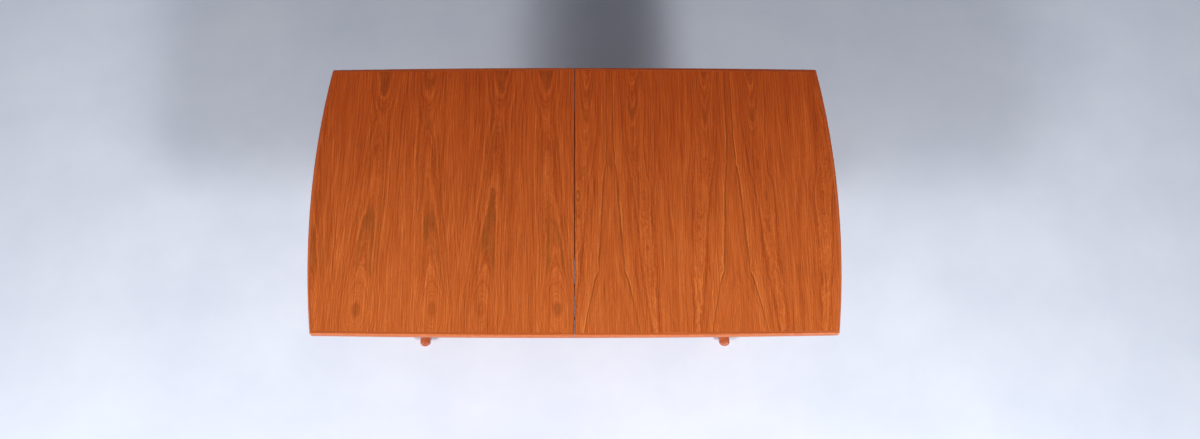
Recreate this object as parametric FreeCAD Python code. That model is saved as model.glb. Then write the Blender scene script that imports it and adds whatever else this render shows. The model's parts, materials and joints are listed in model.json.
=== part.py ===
import FreeCAD, Part
import math
import os

# A dining table whose bowed top parts at mid-length. The two halves run outwards on
# grooved side rails, and a leaf folded in two lies in the frame between them, on pivot
# pins that let it swing over into the opening and unfold.
# Frame: origin on the floor under the table's centre, X along the length, Y from front
# to back, Z up. Each piece that has a twin is drawn once, on the +X or the +Y side.

Vector = FreeCAD.Vector
X_AXIS = Vector(1, 0, 0)
Y_AXIS = Vector(0, 1, 0)
Z_AXIS = Vector(0, 0, 1)

# --- table top -------------------------------------------------------------------
TOP_LENGTH = 1800.0
TOP_WIDTH = 980.0
TOP_HEIGHT = 730.0
TOP_THICK = 25.0
END_BOW = 37.0            # how far each short end bulges past its corners
SIDE_BOW = 8.0            # the same for each long side
LIPPING_WIDTH = 12.0      # solid strip round the veneered panel
CORNER_ROUND = 6.0        # seen from above
EDGE_ROUND = 4.0
EDGE_EASE = 1.5           # small chamfer under the edge
PANEL_SEAM_GAP = 1.2      # between the two veneered panels
LIPPING_SEAM_GAP = 0.4    # the lippings meet tighter than the panels
DOWEL_RADIUS = 5.0
DOWEL_REACH = 12.0        # how far a dowel stands out of its edge
DOWEL_DEPTH = 25.0        # how deep it is glued in
DOWEL_CLEARANCE = 0.3
DOWEL_INSET = 63.0        # from the long side to the dowel

# --- trestles --------------------------------------------------------------------
TRESTLE_X = 590.0         # centre plane of each trestle
GLIDE_THICK = 3.0
GLIDE_LENGTH = 34.0
GLIDE_WIDTH = 26.0
GLIDE_INSET = 10.0        # from the end of the sole
FOOT_WIDTH = 40.0
FOOT_REACH = 372.0        # nose of the foot, from the centre line
FOOT_HEIGHT = 67.0
TOE_HEIGHT = 46.0
TOE_UNDERCUT = 37.0
NOSE_HEIGHT = 39.0        # the foremost line of the foot, above its sole
BELLY_HEIGHT = 27.0       # where the undercut meets the nose
BELLY_INSET = 4.0
BROW_INSET = 6.0
FOOT_ROUND = 8.0
POST_THICK = 34.0
POST_WIDTH = 64.0         # at the foot
POST_TOP_WIDTH = 52.0     # at the head bar
POST_GAP = 90.0           # clear space between the twin posts
POST_ROUND = 8.0
TENON_THICK = 14.0
TENON_WIDTH = 34.0
TENON_LENGTH = 28.0
TENON_SHOULDER = 9.0      # post face to tenon, on the inner side
HEAD_WIDTH = 40.0
HEAD_HEIGHT = 50.0
HEAD_REACH = 352.0
HEAD_CHAMFER = 22.0
HEAD_ROUND = 5.0

# --- stretcher -------------------------------------------------------------------
STRETCHER_BASE = 290.0
STRETCHER_HEIGHT = 80.0
STRETCHER_THICK = 28.0
STRETCHER_ROUND = 5.0
STUB_LENGTH = 20.0        # stub tenon into the block between the posts
STUB_SHOULDER = 6.0

# --- side rails and the runners on them ------------------------------------------
RAIL_GAP = 610.0          # clear space between the two side rails
RAIL_THICK = 22.0
RAIL_HEIGHT = 80.0
RAIL_OVERHANG = 50.0      # rail length past the trestle's centre plane
RAIL_CHAMFER = 24.0
RAIL_BOLT_RADIUS = 3.0
RAIL_BOLT_BITE = 30.0     # length of bolt inside the rail
RAIL_BOLT_HEAD_ACROSS = 10.0
RAIL_BOLT_HEAD_THICK = 4.0
RAIL_CLEARANCE = 0.5      # rail top to the underside of the table top
GROOVE_DEPTH = 8.5
GROOVE_HEIGHT = 12.6
GROOVE_BELOW_TOP = 22.5   # rail top to the groove's centre line
TONGUE_CLEARANCE = 0.3
RUNNER_THICK = 17.0
RUNNER_HEIGHT = 37.0
RUNNER_CLEARANCE = 0.7    # between a runner and its rail
RUNNER_START = 20.0       # from the seam to a runner's inner end
RUNNER_END_INSET = 60.0   # from the end of the top to a runner's outer end
RUNNER_ROUND = 3.0
TIE_WIDTH = 40.0
TIE_CLEARANCE = 0.6       # rail end to the tie that stops against it
STOP_LENGTH = 24.0        # block that closes the groove's outer end
STOP_CLEARANCE = 0.5
LIFT_ROOM = 12.0          # travel of each half past what the leaf needs

# --- folding leaf ----------------------------------------------------------------
LEAF_LENGTH = 500.0       # along X, what it adds to the table
FOLD_GAP = 1.0            # between its halves, both folded and flat
LEAF_DROP = 14.0          # folded leaf's top to the underside of the table top
LEAF_REAR_GAP = 6.5       # folded leaf's rear edge to the back rail
PIVOT_RADIUS = 3.0
RUNNING_CLEARANCE = 0.08  # round a pin that turns in its hole
PIVOT_BLOCK_WIDTH = 36.0
PIVOT_BLOCK_THICK = 20.0
PIVOT_BLOCK_CHAMFER = 7.0
PIVOT_BLOCK_ROOM = 1.0    # block top to the underside of the table top
PIVOT_PIN_TAIL = 2.0      # pin end short of the block's outer face
BRACKET_LENGTH = 42.0
BRACKET_WIDTH = 32.0
BRACKET_PLATE = 2.5
BRACKET_INSET = 2.0       # from the leaf's side edge
BOSS_LENGTH = 22.0
BOSS_WIDTH = 16.0
BOSS_WALL = 1.0           # metal over the pin
HINGE_COUNT = 3
HINGE_PITCH = 180.0
HINGE_LENGTH = 44.0
HINGE_HEIGHT = 12.0
HINGE_DEPTH = 14.0
HINGE_LINKS = 3
HINGE_LINK_WIDTH = 4.0
HINGE_LINK_PITCH = 9.0
HINGE_LINK_DEPTH = 5.0
HINGE_LINK_BEND = 6.0     # corner cut on the links' outer side

# --- cross rails and leaf rests --------------------------------------------------
CROSS_RAIL_THICK = 24.0
CROSS_RAIL_HEIGHT = 47.5
CROSS_RAIL_ROOM = 6.0     # leaf dowel tip to the cross rail
CROSS_TENON_THICK = 12.0
CROSS_TENON_HEIGHT = 30.0
CROSS_TENON_LENGTH = 12.0
REST_SWING_ROOM = 30.0    # rest to the leaf's swinging front edge
REST_REAR_INSET = 14.0    # rest short of the leaf's rear edge
REST_OVERLAP = 16.0       # how far the rest reaches under the leaf
FELT_THICK = 1.7
FELT_MARGIN = 5.0
FELT_CLEARANCE = 0.3

# --- seam locks ------------------------------------------------------------------
LOCK_PIVOT_X = 24.0       # from the seam to the lever's rivet
LOCK_KEEPER_X = 18.0      # from the seam to the keeper's pin
LOCK_ROOM = 5.3           # open lever to the runner
LOCK_PLATE_LENGTH = 42.0
LOCK_PLATE_WIDTH = 36.0
LOCK_PLATE_THICK = 2.0
LOCK_PLATE_INSET = 4.0    # from the seam to either plate
LOCK_PLATE_CORNER = 4.0
LOCK_LEVER_THICK = 3.0
LOCK_PIN_RADIUS = 3.0
LOCK_CLEARANCE = 0.2
LOCK_HEAD_THICK = 1.8
LOCK_HEAD_ACROSS = 10.0
LOCK_HOOK_WIDTH = 8.0     # hook half-width, either side of the keeper's circle
LOCK_HOOK_SPAN = 20.0     # degrees either side of the keeper
LOCK_ARM_WIDTH = 11.0
LOCK_BOSS_WIDTH = 18.0    # lever width at its rivet
LOCK_HANDLE_LENGTH = 38.0
LOCK_HANDLE_WIDTH = 15.0

# --- worked out from the sizes above ---------------------------------------------
HALF_LENGTH = TOP_LENGTH / 2
HALF_WIDTH = TOP_WIDTH / 2
UNDERSIDE = TOP_HEIGHT - TOP_THICK
TOP_MIDDLE = TOP_HEIGHT - TOP_THICK / 2
CORNER_X = HALF_LENGTH - END_BOW
CORNER_Y = HALF_WIDTH - SIDE_BOW
SIDE_RADIUS = (CORNER_X ** 2 + SIDE_BOW ** 2) / (2 * SIDE_BOW)
END_RADIUS = (CORNER_Y ** 2 + END_BOW ** 2) / (2 * END_BOW)
PANEL_SEAM_X = PANEL_SEAM_GAP / 2
LIPPING_SEAM_X = LIPPING_SEAM_GAP / 2
DOWEL_Y = HALF_WIDTH - DOWEL_INSET

RAIL_INNER = RAIL_GAP / 2
RAIL_OUTER = RAIL_INNER + RAIL_THICK
RAIL_MIDDLE = RAIL_INNER + RAIL_THICK / 2
RAIL_END = TRESTLE_X + RAIL_OVERHANG
RAIL_TOP = UNDERSIDE - RAIL_CLEARANCE
RAIL_BASE = RAIL_TOP - RAIL_HEIGHT
GROOVE_Z = RAIL_TOP - GROOVE_BELOW_TOP
HEAD_BASE = RAIL_BASE - HEAD_HEIGHT
SOLE_END = FOOT_REACH - TOE_UNDERCUT
FOOT_TOP = GLIDE_THICK + FOOT_HEIGHT
POST_INNER = POST_GAP / 2
FOOT_SEAT = POST_INNER + POST_WIDTH + POST_THICK / 2
RUNNER_INNER = RAIL_OUTER + RUNNER_CLEARANCE
RUNNER_OUTER = RUNNER_INNER + RUNNER_THICK
RUNNER_BASE = UNDERSIDE - RUNNER_HEIGHT
RUNNER_END = HALF_LENGTH - RUNNER_END_INSET
TRAVEL = LEAF_LENGTH / 2 + LIFT_ROOM
TONGUE_END = RAIL_END - STOP_LENGTH - STOP_CLEARANCE - TRAVEL

UPPER_LEAF_BASE = UNDERSIDE - LEAF_DROP - TOP_THICK
LOWER_LEAF_BASE = UPPER_LEAF_BASE - FOLD_GAP - TOP_THICK
LEAF_REAR = RAIL_INNER - LEAF_REAR_GAP
LEAF_FRONT = LEAF_REAR - HALF_WIDTH + FOLD_GAP / 2
LEAF_SIDE = LEAF_LENGTH / 2
PIVOT_Y = (LEAF_REAR - HALF_WIDTH) / 2      # carries the upper half to the front edge
PIVOT_Z = (TOP_MIDDLE + UPPER_LEAF_BASE + TOP_THICK / 2) / 2
CROSS_RAIL_X = LEAF_SIDE + DOWEL_REACH + CROSS_RAIL_ROOM
CROSS_RAIL_TOP = RAIL_BASE + CROSS_RAIL_HEIGHT
REST_TOP = LOWER_LEAF_BASE - FELT_CLEARANCE - FELT_THICK
LEAF_SWING = math.hypot(PIVOT_Y - LEAF_FRONT, PIVOT_Z - LOWER_LEAF_BASE)
REST_FRONT = PIVOT_Y + LEAF_SWING + REST_SWING_ROOM
REST_REAR = LEAF_REAR - REST_REAR_INSET
LOCK_REACH = LOCK_PIVOT_X + LOCK_KEEPER_X
LOCK_Y = RUNNER_OUTER + LOCK_ROOM + LOCK_REACH + LOCK_HOOK_WIDTH
LOCK_PLATE_BASE = UNDERSIDE - LOCK_PLATE_THICK
LOCK_LEVER_TOP = LOCK_PLATE_BASE - LOCK_CLEARANCE
LOCK_LEVER_BASE = LOCK_LEVER_TOP - LOCK_LEVER_THICK
LOCK_HEAD_TOP = LOCK_LEVER_BASE - LOCK_CLEARANCE


# --- helpers ---------------------------------------------------------------------
def block(x_range, y_range, z_range):
    """A box between the given ranges."""
    low = Vector(x_range[0], y_range[0], z_range[0])
    return Part.makeBox(x_range[1] - x_range[0], y_range[1] - y_range[0],
                        z_range[1] - z_range[0], low)


def about(middle, size):
    """The range of a size centred on a middle."""
    return middle - size / 2, middle + size / 2


def rod(radius, start, end):
    """A round bar from one point to another."""
    start, end = Vector(*start), Vector(*end)
    return Part.makeCylinder(radius, (end - start).Length, start, end - start)


def prism(edges, sweep):
    """Closes the edges into a face and sweeps it."""
    return Part.Face(Part.Wire(edges)).extrude(sweep)


def polygon(points):
    """Straight edges through the points and back to the first."""
    return Part.makePolygon(points + points[:1]).Edges


def arc(start, middle, end):
    return Part.Arc(start, middle, end).toShape()


def line(start, end):
    return Part.LineSegment(start, end).toShape()


def pick(shape, test):
    """The edges that pass the test."""
    return [edge for edge in shape.Edges if test(edge)]


def runs_along(edge, axis):
    """True for a straight edge parallel to the axis."""
    if not isinstance(edge.Curve, Part.Line):
        return False
    return abs(abs(edge.Curve.Direction.dot(axis)) - 1) < 1e-6


def flip_x(shape):
    return shape.mirror(Vector(0, 0, 0), X_AXIS)


def flip_y(shape):
    return shape.mirror(Vector(0, 0, 0), Y_AXIS)


def on_both_sides(shape, flip):
    """The shape and its mirror image."""
    return [shape, flip(shape)]


def on_four_corners(shape):
    """The shape, drawn at +X and +Y, and its three twins."""
    return [twin for half in on_both_sides(shape, flip_x) for twin in on_both_sides(half, flip_y)]


def bolt(x, y, head_z, tip_z, radius, head_across, head_thick):
    """An upright shank with a hexagonal head below it."""
    corner_radius = head_across / math.sqrt(3)
    angles = [math.radians(60 * index) for index in range(6)]
    hexagon = [Vector(math.cos(angle), math.sin(angle), 0) * corner_radius for angle in angles]
    head = prism(polygon(hexagon), -Z_AXIS * head_thick).translated(Vector(x, y, head_z))
    return rod(radius, (x, y, head_z), (x, y, tip_z)).fuse(head)


def cut_all(shape, tools):
    for tool in tools:
        shape = shape.cut(tool)
    return shape


def save(name, pieces):
    """Writes one node: a solid, or a group of separate solids."""
    pieces = pieces if isinstance(pieces, list) else [pieces]
    solids = [solid for piece in pieces for solid in piece.Solids]
    shape = solids[0] if len(solids) == 1 else Part.makeCompound(solids)
    shape.exportStep("parts/%s.step" % name)


def save_left_and_right(shapes):
    """Writes pieces drawn on the +X side, and their twins."""
    for name, shape in shapes.items():
        save("%s_right" % name, shape)
        save("%s_left" % name, flip_x(shape))


# --- the bowed outline -----------------------------------------------------------
def side_y(x, inset):
    """The long side's curve, moved inwards by the inset."""
    return HALF_WIDTH - SIDE_RADIUS + math.sqrt((SIDE_RADIUS - inset) ** 2 - x ** 2)


def end_x(y, inset):
    """The short end's curve, moved inwards by the inset."""
    return HALF_LENGTH - END_RADIUS + math.sqrt((END_RADIUS - inset) ** 2 - y ** 2)


def corner(inset):
    """Where the two curves cross."""
    x, y = CORNER_X - inset, CORNER_Y - inset
    for _ in range(30):
        x, y = end_x(y, inset), side_y(x, inset)
    return x, y


def half_plate(inset, seam_x, rounding=0.0):
    """The +X half of the top, drawn in from its outline, from a seam plane outwards."""
    z = UNDERSIDE
    middle = Vector(*corner(inset + rounding), z)
    from_side = (middle - Vector(0, HALF_WIDTH - SIDE_RADIUS, z)).normalize()
    from_end = (middle - Vector(HALF_LENGTH - END_RADIUS, 0, z)).normalize()
    side_tip, end_tip = middle + from_side * rounding, middle + from_end * rounding
    bow_x = (seam_x + side_tip.x) / 2
    seam = Vector(seam_x, side_y(seam_x, inset), z)
    back = [arc(seam, Vector(bow_x, side_y(bow_x, inset), z), side_tip)]
    if rounding > 0:
        back.append(arc(side_tip, middle + (from_side + from_end).normalize() * rounding, end_tip))
    end = arc(end_tip, Vector(end_x(0, inset), 0, z), Vector(end_tip.x, -end_tip.y, z))
    cut = line(Vector(seam_x, -seam.y, z), seam)
    outline = back + [flip_y(edge) for edge in back] + [end, cut]
    return prism(Part.__sortEdges__(outline), Z_AXIS * TOP_THICK)


def lippings():
    """The solid strips round the +X half, mitred at the corners: end, front, back."""
    plate = half_plate(0.0, LIPPING_SEAM_X, CORNER_ROUND)

    def outline(shape, z):
        return pick(shape, lambda edge: edge.CenterOfMass.x > LIPPING_SEAM_X + CORNER_ROUND
                    and edge.BoundBox.ZLength < 0.01 and abs(edge.CenterOfMass.z - z) < 0.01)
    plate = plate.makeFillet(EDGE_ROUND, outline(plate, TOP_HEIGHT))
    plate = plate.makeChamfer(EDGE_EASE, outline(plate, UNDERSIDE))
    ring = plate.cut(half_plate(LIPPING_WIDTH, -PANEL_SEAM_X))
    inner = Vector(*corner(LIPPING_WIDTH), UNDERSIDE)
    round_middle = Vector(*corner(CORNER_ROUND), UNDERSIDE)
    far = inner + (round_middle - inner) * ((HALF_LENGTH + 1 - inner.x) / (round_middle.x - inner.x))
    outline_of_end = [inner, far, Vector(far.x, -far.y, UNDERSIDE), Vector(inner.x, -inner.y, UNDERSIDE)]
    wedge = prism(polygon(outline_of_end), Z_AXIS * TOP_THICK)
    sides = sorted(ring.cut(wedge).Solids, key=lambda solid: solid.CenterOfMass.y)
    return ring.common(wedge), sides[0], sides[-1]


# --- trestles --------------------------------------------------------------------
def foot_profile():
    """Side view of a foot: level seat, falling top, and a nose drawn under."""
    back_half = [
        (SOLE_END, 0), (FOOT_REACH - BELLY_INSET, BELLY_HEIGHT), (FOOT_REACH, NOSE_HEIGHT),
        (FOOT_REACH - BROW_INSET, TOE_HEIGHT), (FOOT_SEAT, FOOT_HEIGHT),
    ]
    outline = back_half + [(-y, height) for y, height in reversed(back_half)]
    return polygon([Vector(TRESTLE_X - FOOT_WIDTH / 2, y, GLIDE_THICK + height) for y, height in outline])


def post_tenon(side, base):
    """Side -1 is the front post's, side 1 the back post's."""
    middle = side * (POST_INNER + TENON_SHOULDER + TENON_WIDTH / 2)
    return block(about(TRESTLE_X, TENON_THICK), about(middle, TENON_WIDTH), (base, base + TENON_LENGTH))


def foot():
    bar = prism(foot_profile(), X_AXIS * FOOT_WIDTH)

    def shows(edge):
        return not runs_along(edge, X_AXIS) and edge.CenterOfMass.z > GLIDE_THICK + 1
    bar = bar.makeFillet(FOOT_ROUND, pick(bar, shows))
    return cut_all(bar, [post_tenon(side, FOOT_TOP - TENON_LENGTH) for side in (-1, 1)])


def post():
    """The back one of the twin posts, straight inside and tapering outside."""
    x = TRESTLE_X - POST_THICK / 2
    shaft = prism(polygon([
        Vector(x, POST_INNER, FOOT_TOP), Vector(x, POST_INNER + POST_WIDTH, FOOT_TOP),
        Vector(x, POST_INNER + POST_TOP_WIDTH, HEAD_BASE), Vector(x, POST_INNER, HEAD_BASE),
    ]), X_AXIS * POST_THICK)
    height = HEAD_BASE - FOOT_TOP
    shaft = shaft.makeFillet(POST_ROUND, pick(shaft, lambda edge: edge.BoundBox.ZLength > height - 1))
    return shaft.fuse([post_tenon(1, FOOT_TOP - TENON_LENGTH), post_tenon(1, HEAD_BASE)])


def head_bar():
    """Carries both side rails."""
    bar = block(about(TRESTLE_X, HEAD_WIDTH), (-HEAD_REACH, HEAD_REACH), (HEAD_BASE, RAIL_BASE))
    tips = pick(bar, lambda edge: runs_along(edge, X_AXIS) and edge.CenterOfMass.z < HEAD_BASE + 1)
    bar = bar.makeChamfer(HEAD_CHAMFER, tips)
    lower = pick(bar, lambda edge: runs_along(edge, Y_AXIS) and edge.CenterOfMass.z < HEAD_BASE + 1)
    bar = bar.makeFillet(HEAD_ROUND, lower)
    return cut_all(bar, [post_tenon(side, HEAD_BASE) for side in (-1, 1)] + rail_bolts())


def trestles():
    save_left_and_right({"trestle_foot": foot(), "trestle_head": head_bar()})
    save_left_and_right({"trestle_post_back": post(), "trestle_post_front": flip_y(post())})
    glide_end = SOLE_END - GLIDE_INSET
    glide = block(about(TRESTLE_X, GLIDE_WIDTH), (glide_end - GLIDE_LENGTH, glide_end), (0, GLIDE_THICK))
    save("foot_glides", on_four_corners(glide))


# --- stretcher -------------------------------------------------------------------
def stretcher():
    """A beam with a stub tenon glued into a block between each pair of posts."""
    shoulder = TRESTLE_X - POST_THICK / 2
    z_range = (STRETCHER_BASE, STRETCHER_BASE + STRETCHER_HEIGHT)
    stub = block((shoulder, shoulder + STUB_LENGTH), about(0, STRETCHER_THICK - 2 * STUB_SHOULDER),
                 (z_range[0] + STUB_SHOULDER, z_range[1] - STUB_SHOULDER))
    beam = block((-shoulder, shoulder), about(0, STRETCHER_THICK), z_range)
    beam = beam.makeFillet(STRETCHER_ROUND, pick(beam, lambda edge: runs_along(edge, X_AXIS)))
    save("stretcher", beam.fuse(on_both_sides(stub, flip_x)))
    spacer = block(about(TRESTLE_X, POST_THICK), about(0, POST_GAP), z_range)
    save_left_and_right({"stretcher_block": spacer.cut(stub)})


# --- side rails ------------------------------------------------------------------
def rail_bolts():
    """The two bolts that hold the rails on the +X head bar, from below."""
    return on_both_sides(bolt(TRESTLE_X, RAIL_MIDDLE, HEAD_BASE, RAIL_BASE + RAIL_BOLT_BITE, RAIL_BOLT_RADIUS,
                              RAIL_BOLT_HEAD_ACROSS, RAIL_BOLT_HEAD_THICK), flip_y)


def groove(start, end):
    return block((start, end), (RAIL_OUTER - GROOVE_DEPTH, RAIL_OUTER), about(GROOVE_Z, GROOVE_HEIGHT))


def cross_tenon():
    """The back tenon of the +X cross rail."""
    return block(about(CROSS_RAIL_X + CROSS_RAIL_THICK / 2, CROSS_TENON_THICK),
                 (RAIL_INNER, RAIL_INNER + CROSS_TENON_LENGTH),
                 about(RAIL_BASE + CROSS_RAIL_HEIGHT / 2, CROSS_TENON_HEIGHT))


def side_rails():
    """Rails with a groove in the outer face for the runners' tongues."""
    bolts = [twin for bolt in rail_bolts() for twin in on_both_sides(bolt, flip_x)]
    rail = block((-RAIL_END, RAIL_END), (RAIL_INNER, RAIL_OUTER), (RAIL_BASE, RAIL_TOP))
    lower_ends = pick(rail, lambda edge: runs_along(edge, Y_AXIS) and edge.CenterOfMass.z < RAIL_BASE + 1)
    rail = rail.makeChamfer(RAIL_CHAMFER, lower_ends).cut(groove(-RAIL_END, RAIL_END))
    back = cut_all(rail, bolts + on_both_sides(cross_tenon(), flip_x))
    save("side_rail_back", back)
    save("side_rail_front", flip_y(back))
    save("slide_stops", on_four_corners(groove(RAIL_END - STOP_LENGTH, RAIL_END)))
    save("rail_bolts", bolts)


# --- cross rails, rests and pivot blocks -----------------------------------------
def pivot_block():
    """Stands on the +X cross rail and holds the leaf's pivot pin."""
    x_range = about(CROSS_RAIL_X + CROSS_RAIL_THICK / 2, PIVOT_BLOCK_THICK)
    top = UNDERSIDE - PIVOT_BLOCK_ROOM
    body = block(x_range, about(PIVOT_Y, PIVOT_BLOCK_WIDTH), (CROSS_RAIL_TOP, top))
    shoulders = pick(body, lambda edge: runs_along(edge, X_AXIS) and edge.CenterOfMass.z > top - 1)
    body = body.makeChamfer(PIVOT_BLOCK_CHAMFER, shoulders)
    return body.cut(rod(PIVOT_RADIUS + RUNNING_CLEARANCE, (x_range[0], PIVOT_Y, PIVOT_Z),
                        (x_range[1], PIVOT_Y, PIVOT_Z)))


def cross_frame():
    rail = block((CROSS_RAIL_X, CROSS_RAIL_X + CROSS_RAIL_THICK), (-RAIL_INNER, RAIL_INNER),
                 (RAIL_BASE, CROSS_RAIL_TOP))
    rest_start = LEAF_SIDE - REST_OVERLAP
    rest = block((rest_start, CROSS_RAIL_X), (REST_FRONT, REST_REAR), (RAIL_BASE, REST_TOP))
    felt = block((rest_start + FELT_MARGIN, CROSS_RAIL_X - FELT_MARGIN),
                 (REST_FRONT + FELT_MARGIN, REST_REAR - FELT_MARGIN), (REST_TOP, REST_TOP + FELT_THICK))
    save_left_and_right({
        "cross_rail": rail.fuse(on_both_sides(cross_tenon(), flip_y)),
        "leaf_rest": rest, "pivot_block": pivot_block(),
    })
    save("rest_felts", on_both_sides(felt, flip_x))


# --- runners under the +X half ---------------------------------------------------
def runner():
    """The back runner: a bar under the top with a tongue in the rail's groove."""
    bar = block((RUNNER_START, RUNNER_END), (RUNNER_INNER, RUNNER_OUTER), (RUNNER_BASE, UNDERSIDE))
    lower = pick(bar, lambda edge: runs_along(edge, X_AXIS) and edge.CenterOfMass.z < RUNNER_BASE + 1)
    bar = bar.makeFillet(RUNNER_ROUND, lower)
    tongue = block((RUNNER_START, TONGUE_END), (RAIL_OUTER - GROOVE_DEPTH + RUNNER_CLEARANCE, RUNNER_INNER),
                   about(GROOVE_Z, GROOVE_HEIGHT - 2 * TONGUE_CLEARANCE))
    return bar.fuse(tongue).removeSplitter()


def runner_tie():
    """Joins the two runners and stops against the rail ends when the table is closed."""
    start = RAIL_END + TIE_CLEARANCE
    return block((start, start + TIE_WIDTH), (-RUNNER_INNER, RUNNER_INNER), (RUNNER_BASE, UNDERSIDE))


# --- seam locks ------------------------------------------------------------------
def lock_plate(middle_x, pin):
    """A plate under the back of the top, with the pin it carries."""
    plate = block(about(middle_x, LOCK_PLATE_LENGTH), about(LOCK_Y, LOCK_PLATE_WIDTH),
                  (LOCK_PLATE_BASE, UNDERSIDE))
    plate = plate.makeChamfer(LOCK_PLATE_CORNER, pick(plate, lambda edge: runs_along(edge, Z_AXIS)))
    return plate.fuse(pin)


def ring_sector(inner, outer, start, end, centre):
    """Part of a flat ring between two angles in degrees."""
    def at(radius, degrees):
        angle = math.radians(degrees)
        return centre + Vector(radius * math.cos(angle), radius * math.sin(angle), 0)
    middle = (start + end) / 2
    return prism([
        arc(at(outer, start), at(outer, middle), at(outer, end)), line(at(outer, end), at(inner, end)),
        arc(at(inner, end), at(inner, middle), at(inner, start)), line(at(inner, start), at(outer, start)),
    ], Z_AXIS * LOCK_LEVER_THICK)


def lock_lever():
    """The back lever, drawn hooked on the keeper and then swung open, towards the middle."""
    centre = Vector(-LOCK_PIVOT_X, LOCK_Y, LOCK_LEVER_BASE)
    slot_half = LOCK_PIN_RADIUS + LOCK_CLEARANCE
    inner, outer = LOCK_REACH - LOCK_HOOK_WIDTH, LOCK_REACH + LOCK_HOOK_WIDTH
    tip, half_arm, half_boss = inner + LOCK_CLEARANCE, LOCK_ARM_WIDTH / 2, LOCK_BOSS_WIDTH / 2
    half_handle = LOCK_HANDLE_WIDTH / 2
    handle = half_handle - LOCK_HANDLE_LENGTH

    def disc(x, radius):
        return Part.makeCylinder(radius, LOCK_LEVER_THICK, centre + Vector(x, 0, 0))
    arm = prism(polygon([centre + Vector(x, y, 0) for x, y in (
        (tip, -half_arm), (tip, half_arm), (0, half_boss), (handle, half_handle),
        (-LOCK_HANDLE_LENGTH, 0), (handle, -half_handle), (0, -half_boss),
    )]), Z_AXIS * LOCK_LEVER_THICK)
    hook = ring_sector(inner, outer, -LOCK_HOOK_SPAN, LOCK_HOOK_SPAN, centre)
    slot = ring_sector(LOCK_REACH - slot_half, LOCK_REACH + slot_half, 0, 2 * LOCK_HOOK_SPAN, centre)
    holes = [slot, disc(LOCK_REACH, slot_half), disc(0, LOCK_PIN_RADIUS + RUNNING_CLEARANCE)]
    lever = cut_all(arm.fuse(hook), holes).removeSplitter()
    lever.rotate(centre, Z_AXIS, -90)
    return lever


# --- the two halves of the top ---------------------------------------------------
def dowel(edge_x, y, z):
    """Glued in behind the edge, standing out of it towards +X."""
    return rod(DOWEL_RADIUS, (edge_x - DOWEL_DEPTH, y, z), (edge_x + DOWEL_REACH, y, z))


def dowel_hole(edge_x, y, z):
    """Takes a dowel that comes from the -X side."""
    depth = DOWEL_REACH + PANEL_SEAM_GAP
    return rod(DOWEL_RADIUS + DOWEL_CLEARANCE, (edge_x, y, z), (edge_x + depth, y, z))


def top_halves():
    end, front, back = lippings()
    save_left_and_right({
        "lipping_end": end, "lipping_front": front, "lipping_back": back,
        "runner_back": runner(), "runner_front": flip_y(runner()), "runner_tie": runner_tie(),
    })
    panel = half_plate(LIPPING_WIDTH, PANEL_SEAM_X)
    dowels = [dowel(-PANEL_SEAM_X, y, TOP_MIDDLE) for y in (-DOWEL_Y, DOWEL_Y)]
    holes = [dowel_hole(PANEL_SEAM_X, y, TOP_MIDDLE) for y in (-DOWEL_Y, DOWEL_Y)]
    save("top_panel_right", cut_all(panel, holes))
    save("top_panel_left", cut_all(flip_x(panel), dowels))
    save("seam_dowels", dowels)


def seam_locks():
    """Lever and rivet under the left half, keeper under the right half, front and back."""
    rivet = bolt(-LOCK_PIVOT_X, LOCK_Y, LOCK_HEAD_TOP, LOCK_PLATE_BASE, LOCK_PIN_RADIUS,
                 LOCK_HEAD_ACROSS, LOCK_HEAD_THICK)
    keeper_pin = rod(LOCK_PIN_RADIUS, (LOCK_KEEPER_X, LOCK_Y, LOCK_HEAD_TOP),
                     (LOCK_KEEPER_X, LOCK_Y, LOCK_PLATE_BASE))
    plate_x = LOCK_PLATE_INSET + LOCK_PLATE_LENGTH / 2
    save("lock_plates", on_both_sides(lock_plate(-plate_x, rivet), flip_y))
    save("lock_keepers", on_both_sides(lock_plate(plate_x, keeper_pin), flip_y))
    save("lock_lever_back", lock_lever())
    save("lock_lever_front", flip_y(lock_lever()))


# --- the folded leaf -------------------------------------------------------------
def leaf_edge(z):
    """Lipping on the long outer edge of a leaf half, at the rear while it is folded."""
    strip = block((-LEAF_SIDE, LEAF_SIDE), (LEAF_REAR - LIPPING_WIDTH, LEAF_REAR), (z, z + TOP_THICK))
    inner_face = z if z > LOWER_LEAF_BASE else z + TOP_THICK

    def show_edge(edge):
        outside = runs_along(edge, X_AXIS) and edge.CenterOfMass.y > LEAF_REAR - 1
        return outside and abs(edge.CenterOfMass.z - inner_face) < 1
    return strip.makeFillet(EDGE_ROUND, pick(strip, show_edge))


def leaf_panel(z):
    return block((-LEAF_SIDE, LEAF_SIDE), (LEAF_FRONT, LEAF_REAR - LIPPING_WIDTH), (z, z + TOP_THICK))


def hinge_places():
    first = -(HINGE_COUNT - 1) / 2 * HINGE_PITCH
    return [first + index * HINGE_PITCH for index in range(HINGE_COUNT)]


def hinge_body(x, z):
    """A hinge body let into the fold edge of one leaf half."""
    return block(about(x, HINGE_LENGTH), (LEAF_FRONT, LEAF_FRONT + HINGE_DEPTH), about(z, HINGE_HEIGHT))


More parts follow.
